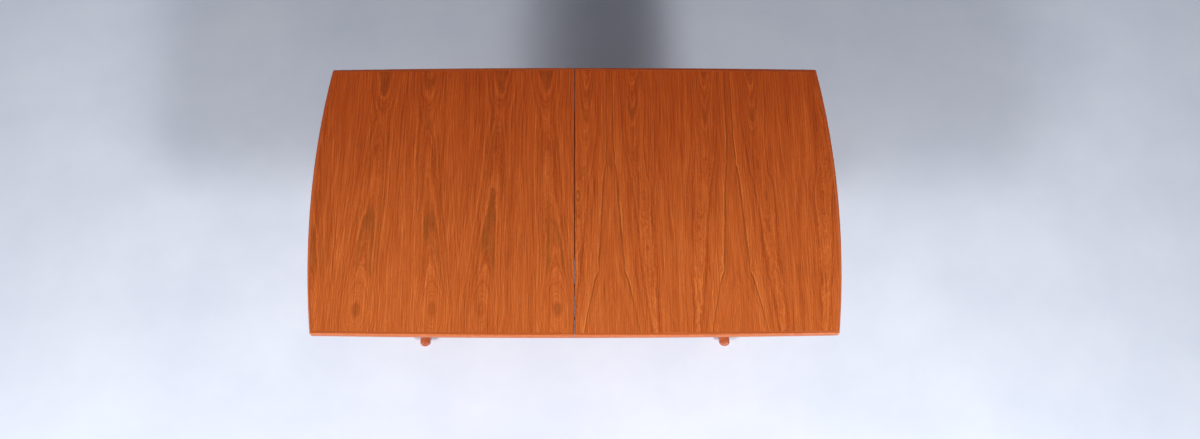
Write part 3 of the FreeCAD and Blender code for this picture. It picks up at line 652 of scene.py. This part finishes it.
def adopt(name, mesh, finish, body, stands_for):
    """Puts a finished mesh into the scene, on its body and with its slot."""
    mesh.materials.clear()
    mesh.materials.append(finish)
    piece = into_scene(bpy.data.objects.new(name, mesh))
    piece.modifiers.new("even_normals", "WEIGHTED_NORMAL").keep_sharp = True
    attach(piece, body)
    if stands_for:
        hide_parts(*stands_for)
    return piece


def dressed(how, node, shape, finish):
    """Turns a shape into the piece that takes a node's place."""
    mesh = bpy.data.meshes.new(f"{how}_{node}")
    shape.to_mesh(mesh)
    shape.free()
    show_sharp(mesh)
    return adopt(mesh.name, mesh, finish, nodes[node]["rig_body"], [node])


def eased(node, finish, arris=SANDED, steps=2, reach_seam=None):
    """The node's own shape with its edges sanded, and its seam face moved if asked."""
    shape = bmesh.new()
    shape.from_mesh(nodes[node].data)
    bmesh.ops.remove_doubles(shape, verts=shape.verts, dist=WELD)
    bmesh.ops.dissolve_limit(shape, angle_limit=FLAT, verts=shape.verts, edges=shape.edges)
    if reach_seam:
        for vertex in shape.verts:
            if abs(vertex.co.x) < NEAR_SEAM:
                vertex.co.x = math.copysign(reach_seam, vertex.co.x)
    corners = [edge for edge in shape.edges
               if edge.is_manifold and edge.calc_face_angle(0.0) > REAL_CORNER]
    rounded = bmesh.ops.bevel(shape, geom=corners, offset=arris, offset_type="OFFSET", segments=steps,
                              profile=0.5, affect="EDGES", clamp_overlap=True)["faces"]
    mark_arris(shape, rounded)
    return dressed("eased", node, shape, finish)


print(f"sharpest arris kept: {CRISP * 1000:.2f} mm, roundest: {SANDED * 1000:.2f} mm")

# %% [markdown]
# ## The top
#
# Each half is a veneered panel with solid strips glued round it. The strips carry the
# rounded edge that hands touch. They follow two bows, one along the side and one
# across the end, and meet in mitres behind a softened corner.

# %% The bowed outline
HALF_LENGTH, HALF_WIDTH, TOP = (round(reach, 6) for reach in cad_box[1])
UNDER, SEAM = box_of("top_panel_right")[0][2], box_of("lipping_front_right")[0][0]
END_BOW, SIDE_BOW, CORNER_ROUND, LIPPING = 0.037, 0.008, 0.006, 0.012
side_radius = ((HALF_LENGTH - END_BOW) ** 2 + SIDE_BOW ** 2) / (2 * SIDE_BOW)
end_radius = ((HALF_WIDTH - SIDE_BOW) ** 2 + END_BOW ** 2) / (2 * END_BOW)
side_centre, end_centre = (0.0, HALF_WIDTH - side_radius), (HALF_LENGTH - end_radius, 0.0)


def side_y(x, inset):
    return side_centre[1] + math.sqrt((side_radius - inset) ** 2 - x ** 2)


def end_x(y, inset):
    return end_centre[0] + math.sqrt((end_radius - inset) ** 2 - y ** 2)


def corner(inset):
    """Where the two bows cross."""
    x, y = HALF_LENGTH - END_BOW - inset, HALF_WIDTH - SIDE_BOW - inset
    for _ in range(30):
        x, y = end_x(y, inset), side_y(x, inset)
    return Vector((x, y))


def turn(inset, share):
    """A point of the softened corner: share 0 is where the side ends, 1 where the end begins."""
    if inset >= CORNER_ROUND:
        return corner(inset)
    middle = corner(CORNER_ROUND)
    first, last = ((middle - Vector(centre)).normalized() for centre in (side_centre, end_centre))
    return middle + first.slerp(last, share) * (CORNER_ROUND - inset)


def side_line(inset, stations=48, corner_steps=4):
    """Back edge of the +X half, from the seam to the middle of the corner."""
    tip = turn(inset, 0.0)
    points = [Vector((x, side_y(x, inset))) for x in
              (SEAM + (tip.x - SEAM) * index / stations for index in range(stations))]
    return points + [turn(inset, 0.5 * index / corner_steps) for index in range(corner_steps + 1)]


def end_line(inset, stations=40, corner_steps=4):
    """End of the +X half, from one corner's middle to the other's."""
    tip = turn(inset, 1.0)
    corner_part = [turn(inset, 0.5 + 0.5 * index / corner_steps) for index in range(corner_steps)]
    points = [Vector((end_x(y, inset), y)) for y in
              (tip.y * (1 - 2 * index / stations) for index in range(stations + 1))]
    return corner_part + points + [Vector((p.x, -p.y)) for p in reversed(corner_part)]


print("corner at", [round(value, 4) for value in corner(0.0)])

# %% [markdown]
# ### The lippings
#
# A strip with a constant section could be swept with a curve's bevel, but a mitred end
# has to be cut at an angle. So each station along the strip carries the whole section,
# and the stations at the corner slant by themselves, because the outline drawn further
# in has its corner further in. Rows of points then have to become a closed shell.

# %% A closed shell from rows of points
def woven(rows, columns, loop_rows=False, loop_columns=False):
    """Quads between the neighbours in a grid of points, which may close on itself either way."""
    return [(row * columns + i, row * columns + (i + 1) % columns,
             (row + 1) % rows * columns + (i + 1) % columns, (row + 1) % rows * columns + i)
            for row in range(rows - 1 + loop_rows) for i in range(columns - 1 + loop_columns)]


def shaped(node, points, faces, finish, is_arris=None):
    """Welds a shell of faces, and it stands for the node."""
    shape = bmesh.new()
    corners = [shape.verts.new(point) for point in points]
    for face in faces:
        shape.faces.new([corners[index] for index in face])
    shape.normal_update()
    bmesh.ops.remove_doubles(shape, verts=shape.verts, dist=WELD)
    bmesh.ops.recalc_face_normals(shape, faces=shape.faces)
    if is_arris:
        mark_arris(shape, filter(is_arris, shape.faces))
    return dressed("shaped", node, shape, finish)


print("a closed strip of 4 by 3 points has", len(woven(4, 3, loop_rows=True)), "quads")

# %% [markdown]
# The strips are cut from boards of their own, so every one has its own finish. Below
# the narrow flat beside the veneer, their edges and outer faces carry painted shade.

# %% Lippings
ROUND, EASE = 0.0055, 0.0015


def lipping_section(steps=6):
    """(inset, height) pairs once round the strip, beginning low on the inside."""
    rounding = [(ROUND - ROUND * math.cos(angle), TOP - ROUND + ROUND * math.sin(angle))
                for angle in (math.pi / 2 * index / steps for index in range(steps + 1))]
    return [(LIPPING, UNDER), (EASE, UNDER), (0.0, UNDER + EASE)] + rounding + [
        (LIPPING - CRISP, TOP), (LIPPING, TOP - CRISP)]


def lipping(node, line, flip, finish):
    section, (flip_x, flip_y) = lipping_section(), flip
    rows = [line(inset) for inset, _ in section]
    points = [(point.x * flip_x, point.y * flip_y, height)
              for row, (_, height) in zip(rows, section) for point in row]
    count, wide = len(rows), len(rows[0])
    caps = [tuple(row * wide + end for row in range(count)) for end in (0, wide - 1)]
    return shaped(node, points, woven(count, wide, loop_rows=True) + caps, finish,
                  lambda face: 0.05 < abs(face.normal.z) < 0.995)


for side, sign in SIDES.items():
    ends = solid_wood(f"teak_lipping_end_{side}", "Y", (940.0, 690.0), LIPPING_TEAK, 20.0 + sign,
                      bend=0.00016, lean=0.01, on_top=True)
    lipping(f"lipping_end_{side}", end_line, (sign, 1), ends)
    for place, way in PLACES.items():
        strip = solid_wood(f"teak_lipping_{place}_{side}", "X", (way * 520.0, 690.0), LIPPING_TEAK,
                           30.0 + 3 * sign + way, lean=0.01, on_top=True)
        lipping(f"lipping_{place}_{side}", side_line, (sign, way), strip)
    print("three lippings round the", side, "half, each", len(lipping_section()), "points round")

# %% [markdown]
# ### The veneered panels
#
# The panel itself stays as flat as it was made. Only its arrises are taken off, and its
# seam face is set close to the other half's, because a seam that closes well reads as
# one dark line.

# %% The panels
for side, finish in (("left", left_veneer), ("right", right_veneer)):
    panel = eased("top_panel_" + side, finish, CRISP, 1, reach_seam=SEAM)
    print(panel.name, [round(length, 4) for length in panel.dimensions])

# %% [markdown]
# ## The frame below
#
# The top stands on two trestles: a long foot, two posts and a head bar each, with a
# stretcher between them. These are solid boards, so each gets its own pith.
#
# ### The feet
#
# The foot's top is rounded by a spokeshave, runs down towards the ends and is drawn
# together to a nose. A bevel on the solid would give one radius everywhere. A row of
# cross sections along the foot lets the rounding shrink with the nose.

# %% The feet
foot_high, foot_middle = box_of("trestle_foot_right")[1:]
TRESTLE, FOOT_HALF = foot_middle[0], foot_high[0] - foot_middle[0]
NOSE_AT, NOSE_START, NOSE_HEIGHT, NOSE_STEPS, NOSE_FULLNESS = 0.370, 0.351, 0.036, 9, 0.8
BACK_ROUND, SOLE_ROUND, ROUNDEST, CAP = 0.014, 0.003, 0.96, 0.0001
FOOT_TOP = [(0.0, 0.070), (0.126, 0.070), (0.31, 0.054), (0.352, 0.0455), (0.372, 0.040)]
FOOT_SOLE = [(0.0, 0.003), (0.335, 0.003), (0.352, 0.0165), (0.372, 0.034)]
FOOT_STATIONS = [0.0, 0.06, 0.12, 0.13, 0.19, 0.25, 0.30, 0.334, 0.3355, 0.342, 0.347]


def between(pairs, at):
    """The height on a broken line."""
    for (low, first), (high, last) in zip(pairs, pairs[1:]):
        if at <= high:
            return first + (last - first) * (at - low) / (high - low)
    return pairs[-1][1]


def foot_ring(y, middle_x, corner_steps=5):
    """One section: rounded on top, nearly square at the sole, and drawn together over the nose."""
    over = max(0.0, (abs(y) - NOSE_START) / (NOSE_AT - NOSE_START))
    shrink = math.sqrt(max(0.0, 1 - over ** 2))
    top, sole = (NOSE_HEIGHT + (between(outline, abs(y)) - NOSE_HEIGHT) * shrink ** NOSE_FULLNESS
                 for outline in (FOOT_TOP, FOOT_SOLE))
    half, ring = FOOT_HALF * shrink, []
    for across, height, widest, start in ((1, sole, SOLE_ROUND, -90), (1, top, BACK_ROUND, 0),
                                          (-1, top, BACK_ROUND, 90), (-1, sole, SOLE_ROUND, 180)):
        radius = min(widest, half * ROUNDEST, (top - sole) / 2 * ROUNDEST)
        inward = -1 if height == top else 1
        for step in range(corner_steps + 1):
            angle = math.radians(start + 90 * step / corner_steps)
            ring.append((middle_x + across * (half - radius) + radius * math.cos(angle), y,
                         height + inward * radius + radius * math.sin(angle)))
    return ring


def foot(node, middle_x):
    """Rings strung along the foot, closed by a small cap at either nose."""
    nose = [NOSE_START + (NOSE_AT - NOSE_START) * math.sin(math.pi / 2 * step / NOSE_STEPS)
            for step in range(NOSE_STEPS)]
    half = FOOT_STATIONS + nose + [NOSE_AT - CAP]
    rings = [foot_ring(y, middle_x) for y in [-y for y in reversed(half[1:])] + half]
    around, last = len(rings[0]), (len(rings) - 1) * len(rings[0])
    caps = [tuple(first + i for i in range(around)) for first in (0, last)]
    finish = solid_wood("teak_" + node, "Y", (middle_x * 1000 + 35, -60.0), FRAME_TEAK, 40.0 + middle_x,
                        coat=1.0)
    return shaped(node, [point for ring in rings for point in ring],
                  woven(len(rings), around, loop_columns=True) + caps, finish)


for side, sign in SIDES.items():
    print(foot(f"trestle_foot_{side}", sign * TRESTLE).name, "ends at", NOSE_AT)

# %% [markdown]
# ### Posts, head bars and stretcher
#
# Every board is sawn so that its grain runs along it. The pith is given in the two
# directions across the board, outside it: a board that holds its pith would split.

# %% Posts, head bars and stretcher
def teak_part(node, along, pith, seed):
    return eased(node, solid_wood("teak_" + node, along, pith, FRAME_TEAK, seed))


for side, sign in SIDES.items():
    x = sign * TRESTLE * 1000
    teak_part(f"trestle_head_{side}", "Y", (x - 45, 640.0), 44.0 + sign)
    for place, way in PLACES.items():
        teak_part(f"trestle_post_{place}_{side}", "Z", (x + 60, way * 70.0), 50.0 + 3 * sign + way)
    teak_part(f"stretcher_block_{side}", "Y", (x + 50, 330.0), 60.0 + sign)
stretcher = teak_part("stretcher", "X", (40.0, 250.0), 70.0)
print("trestles done, stretcher", [round(length, 3) for length in stretcher.dimensions])

# %% [markdown]
# ### Rails, runners and rests
#
# What slides is beech, which is hard, even and pale, and is waxed instead of oiled.
# One finish for each direction of the grain is enough, because the pith lies far away
# and every piece reads its own place in the same block of wood.

# %% Beech
beech = {axis: solid_wood("beech_" + axis.lower(), axis, (900.0, 620.0), BEECH, 80.0, ring=0.8, vessel=0.25,
                          lean=0.01, coat=0.0) for axis in "XYZ"}
for node, slot in slot_of.items():
    if slot == "beech":
        across = any(word in node for word in ("cross_rail", "runner_tie"))
        upright = "pivot_block" in node
        eased(node, beech["Y" if across else "Z" if upright else "X"])
print("beech pieces:", sum(slot == "beech" for slot in slot_of.values()))

# %% [markdown]
# ## The leaf
#
# The leaf came from the same flitch of veneer as the right half, so its curves are of
# the same kind, with another seed. It waits folded, with its two show faces against each
# other, and what can be seen from outside is the plain veneer that balances the panel.

# %% The leaf
FOLD = (box_of("leaf_panel_lower")[1][2] + box_of("leaf_panel_upper")[0][2]) / 2
leaf_veneer = veneer(
    "teak_veneer_leaf", fold_at=0.0, sheet=208.0, seed=13.0, joint_x=250.0, show_level=FOLD * 1000,
    pith_across=[(-490, 126), (-410, 123), (-200, 117), (0, 108), (100, 96), (210, 84), (420, 81), (490, 80)],
    pith_depth=[(-490, 94), (-350, 80), (-250, 71), (0, 60), (100, 54), (197, 50), (263, 47), (370, 40),
                (430, 26), (490, 8)],
    figure=[(0, -0.4), (12, -0.1), (22, -0.45), (34, 0.2), (38, -0.7), (42, -0.3), (46, 0.55), (50, -0.3),
            (54, -0.5), (59, 0.2), (66, -0.35), (80, -0.2), (150, 0.0)])
for half in ("upper", "lower"):
    leaf_half = eased("leaf_panel_" + half, leaf_veneer, TUMBLED, 1)
    edge = solid_wood("teak_leaf_edge_" + half, "X", (330.0, 600.0), LIPPING_TEAK, 90.0, lean=0.01)
    eased("leaf_edge_" + half, edge)
    print(leaf_half.name, [round(length, 4) for length in leaf_half.dimensions])

# %% [markdown]
# ## Small things that repeat
#
# The plates, runners and ties are held by slotted screws, and the halves are lined up by
# fluted dowels. They could be copied by a loop, but a Geometry Nodes tree keeps the
# sizes as named inputs, so one tree gives the pan heads under a runner and the flat
# heads in a plate. A mesh of loose points says where they go, and an attribute on each
# point says which way it faces.

# %% Growing pieces with Geometry Nodes
class Grower(Tree):
    """A Geometry Nodes tree that takes points and gives pieces, with its sizes as inputs."""

    def __init__(self, name, sizes, counts=()):
        super().__init__(bpy.data.node_groups.new(name, "GeometryNodeTree"))
        self.socket("Places", "Geometry")
        self.socket("Pieces", "Geometry", "OUTPUT")
        kinds = {"Finish": "Material", **dict.fromkeys(sizes, "Float"), **dict.fromkeys(counts, "Int")}
        self.inputs = {size: self.socket(size, kind) for size, kind in kinds.items()}

    def socket(self, name, kind, way="INPUT"):
        """Adds a socket to the tree itself and gives its identifier."""
        made = self.tree.interface.new_socket(name, in_out=way, socket_type="NodeSocket" + kind)
        return made.identifier

    def size(self, name):
        return self.node("NodeGroupInput", output=name)

    def vector(self, x, y, z):
        return self.node("CombineXYZ", {}, {"X": x, "Y": y, "Z": z})

    def set_on_points(self, piece, turn):
        """Remembers each piece's own coordinates, sets it on every point and ends the tree."""
        own = self.node("GeometryNodeInputPosition")
        piece = self.node("GeometryNodeStoreNamedAttribute", {"data_type": "FLOAT_VECTOR"},
                          {"Geometry": piece, "Name": "own_place", "Value": own})
        facing = self.node("GeometryNodeInputNamedAttribute", {"data_type": "FLOAT_VECTOR"},
                           {"Name": "facing"})
        stand = self.node("FunctionNodeAlignRotationToVector", {"axis": "Z"}, {"Vector": facing})
        spin = self.node("FunctionNodeAxisAngleToRotation", {}, {"Axis": (0, 0, 1), "Angle": turn})
        stand = self.node("FunctionNodeRotateRotation", {"rotation_space": "LOCAL"}, {0: stand, 1: spin})
        pieces = self.node("GeometryNodeInstanceOnPoints", {},
                           {"Points": self.size("Places"), "Instance": piece, "Rotation": stand})
        pieces = self.node("GeometryNodeRealizeInstances", {}, {"Geometry": pieces})
        pieces = self.node("GeometryNodeSetMaterial", {},
                           {"Geometry": pieces, "Material": self.size("Finish")})
        self.node("NodeGroupOutput", {}, {"Pieces": pieces}, None)
        return self


def grown(name, grower, sizes, places, finish, body, stands_for=()):
    """Runs a grower over (point, facing) pairs and keeps the result as a plain mesh."""
    points = bpy.data.meshes.new(name + "_points")
    points.from_pydata([point for point, _ in places], [], [])
    facing = points.attributes.new("facing", "FLOAT_VECTOR", "POINT")
    facing.data.foreach_set("vector", [value for _, way in places for value in way])
    holder = into_scene(bpy.data.objects.new(name + "_points", points))
    modifier = holder.modifiers.new("grower", "NODES")
    modifier.node_group = grower.tree
    for size, value in {**sizes, "Finish": finish}.items():
        modifier[grower.inputs[size]] = value
    mesh = bpy.data.meshes.new_from_object(holder.evaluated_get(bpy.context.evaluated_depsgraph_get()))
    bpy.data.objects.remove(holder)
    mesh.name = name
    show_sharp(mesh)
    adopt(name, mesh, finish, body, stands_for)
    print(f"{name}: {len(places)} pieces, {len(mesh.polygons)} faces")


print("a grower needs places, a finish and its own sizes")

# %% [markdown]
# ### Slotted screws
#
# A wood screw's head is turned, so it shows fine circles, and a saw cuts the slot. Here
# the dome is a flattened ball and the slot a box taken out of it. A fitter never stops
# with all slots in line, so each head gets a random turn, from a fixed seed.

# %% A slotted screw and its steel
PAN = {"Head Radius": 0.0036, "Head Height": 0.0012, "Slot Width": 0.0008, "Slot Depth": 0.0007}
FLUSH = {"Head Radius": 0.0032, "Head Height": 0.00014, "Slot Width": 0.0008, "Slot Depth": 0.0001}


def slotted_screw():
    grower = Grower("slotted_screw", PAN, counts=("Turn Seed",))
    radius, height = grower.size("Head Radius"), grower.size("Head Height")
    ball = grower.node("GeometryNodeMeshUVSphere", {}, {"Segments": 20, "Rings": 10}, "Mesh")
    dome = grower.node("GeometryNodeTransform", {},
                       {"Geometry": ball, "Scale": grower.vector(radius, radius, height)})
    blade = grower.vector(radius * 3.0, grower.size("Slot Width"), grower.size("Slot Depth") * 2.0)
    saw = grower.node("GeometryNodeMeshCube", {}, {"Size": blade}, "Mesh")
    saw = grower.node("GeometryNodeTransform", {},
                      {"Geometry": saw, "Translation": grower.vector(0.0, 0.0, height)})
    head = grower.node("GeometryNodeMeshBoolean", {"operation": "DIFFERENCE", "solver": "EXACT"},
                       {"Mesh 1": dome, "Mesh 2": saw}, "Mesh")
    turn = grower.node("FunctionNodeRandomValue", {},
                       {3: math.pi, "Seed": grower.size("Turn Seed")}, 1)
    return grower.set_on_points(head, turn)


def screw_steel(name):
    finish = Finish(name)
    own_x, own_y = (part * 1000.0 for part in finish.parts(finish.stored("own_place", "Vector"))[:2])
    circles = stripes((own_x * own_x + own_y * own_y).maths("SQRT"), 0.25, 4.0)
    grime = clouds(finish, (1.4, 1.4, 1.4), 5.0, 3.0, 0.6)
    colour = blended(span(grime, 0.4, 0.65), paint(186, 186, 182), paint(132, 130, 126))
    # Painted shade: the slot is painted nearly black, for the shade down in it.
    colour = blended(span(abs(own_y), 0.4, 0.55, 0.85, 0.0), colour, paint(30, 26, 22))
    return surface(finish, colour, circles * 0.15 + grime * 0.2 + 0.15, circles, 0.00003, 0.5, Metallic=1.0)


screw, steel = slotted_screw(), screw_steel("turned_screw_steel")


def screws(name, sizes, turn_seed, places, body):
    grown(name, screw, {**sizes, "Turn Seed": turn_seed}, places, steel, body)


print(f"pan heads stand {PAN['Head Height'] * 1000:.1f} mm proud, flush heads hardly at all")

# %% [markdown]
# Screws go through the middle of a runner or a tie, and near the corners of a plate, a
# keeper or a bracket. Their heads lie on the outer face of what they hold.

# %% Where the screws go
RUNNER_THICK, PLATE_THICK, BRACKET_THICK, LOCK_Y = 0.017, 0.002, 0.0025, 0.400
RUNNER_SCREWS, TIE_SCREWS = (0.06, 0.20, 0.34, 0.48, 0.62, 0.80), (-0.29, -0.15, 0.0, 0.15, 0.29)
BRACKET_SCREWS = ((0.036, 0.0115), (0.007, 0.012))
DOWN, UP = (0, 0, -1), (0, 0, 1)
runner_low, runner_high, _ = box_of("runner_back_right")
runner_y, tie_x = runner_high[1] - RUNNER_THICK / 2, box_of("runner_tie_right")[2][0]
keeper_x, plate_under = box_of("lock_keepers")[2][0], UNDER - PLATE_THICK
bracket_end, bracket_y = box_of("pivot_brackets")[1][0], box_of("pivot_brackets")[2][1]
bracket_top = box_of("leaf_panel_upper")[1][2] + BRACKET_THICK
for side, sign in SIDES.items():
    in_wood = [((sign * x, way * runner_y, runner_low[2]), DOWN) for way in (-1, 1) for x in RUNNER_SCREWS]
    in_wood += [((sign * tie_x, y, runner_low[2]), DOWN) for y in TIE_SCREWS]
    in_plate = [((sign * keeper_x + x, way * LOCK_Y + y, plate_under), DOWN) for way in (-1, 1)
                for x in (-0.015, 0.015) for y in (-0.012, 0.012)]
    screws(f"pan_head_screws_{side}", PAN, 3, in_wood, "top_" + side)
    screws(f"flush_screws_{side}", FLUSH, 8, in_plate, "top_" + side)
in_bracket = [((sign * (bracket_end - inset), bracket_y + y, bracket_top), UP) for sign in (-1, 1)
              for inset, apart in BRACKET_SCREWS for y in (-apart, apart)]
screws("bracket_screws", FLUSH, 5, in_bracket, "leaf")

# %% [markdown]
# ### Fluted dowels
#
# A dowel is pressed through a toothed ring, which leaves shallow flutes for the glue,
# and its ends are turned to a taper so that they find their holes. The tree starts with
# a plain cylinder and asks each of its points how far round and how far along it lies.

# %% Fluted dowels
ALONG, DOWEL_INSET = (1, 0, 0), 0.063
DOWEL = {"Dowel Radius": 0.005, "Dowel Length": 0.037, "Flutes": 12.0, "Flute Depth": 0.0004,
         "Taper": 0.002}


def fluted_dowel():
    grower = Grower("fluted_dowel", DOWEL)
    radius, length, flutes, depth, taper = (grower.size(name) for name in DOWEL)
    rod = grower.node("GeometryNodeMeshCylinder", {}, {
        "Vertices": 60, "Side Segments": 24, "Fill Segments": 1, "Radius": radius, "Depth": length}, "Mesh")
    own = grower.node("GeometryNodeInputPosition")
    x, y, z = grower.parts(own)
    wave = (y.maths("ARCTAN2", x) * flutes).maths("COSINE") * 0.5 + 0.5
    past = (abs(z) - (length * 0.5 - taper)).maths("MAXIMUM", 0.0)
    shrink = 1.0 - (wave * depth + past * 0.45) / radius
    pressed = grower.node("VectorMath", {"operation": "MULTIPLY"},
                          {0: own, 1: grower.vector(shrink, shrink, 1.0)})
    rod = grower.node("GeometryNodeSetPosition", {}, {"Geometry": rod, "Position": pressed})
    return grower.set_on_points(rod, 0.0)


dowel = fluted_dowel()
dowel_beech = solid_wood("beech_dowel", "X", (2.0, 735.0), BEECH, 95.0, ring=0.6, vessel=0.3, lean=0.0,
                         coat=0.0)
(seam_x, _, seam_z), (leaf_x, leaf_y, _) = box_of("seam_dowels")[2], box_of("leaf_dowels")[2]
at_seam = [((seam_x, way * (HALF_WIDTH - DOWEL_INSET), seam_z), ALONG) for way in (-1, 1)]
at_leaf = [((leaf_x, leaf_y, box_of("leaf_panel_" + half)[2][2]), ALONG) for half in ("upper", "lower")]
grown("fluted_seam_dowels", dowel, DOWEL, at_seam, dowel_beech, "top_left", ["seam_dowels"])
grown("fluted_leaf_dowels", dowel, DOWEL, at_leaf, dowel_beech, "leaf", ["leaf_dowels"])

# %% [markdown]
# ## Fittings
#
# Locks, hinges, brackets and bolts are bought pieces, stamped or turned, so each keeps
# the solid's shape with its edges tumbled. So do the pads and the felt.

# %% Fittings
for node, slot in slot_of.items():
    if slot in fitting_finish:
        eased(node, fitting_finish[slot], TUMBLED)
print("fittings:", sum(slot in fitting_finish for slot in slot_of.values()))
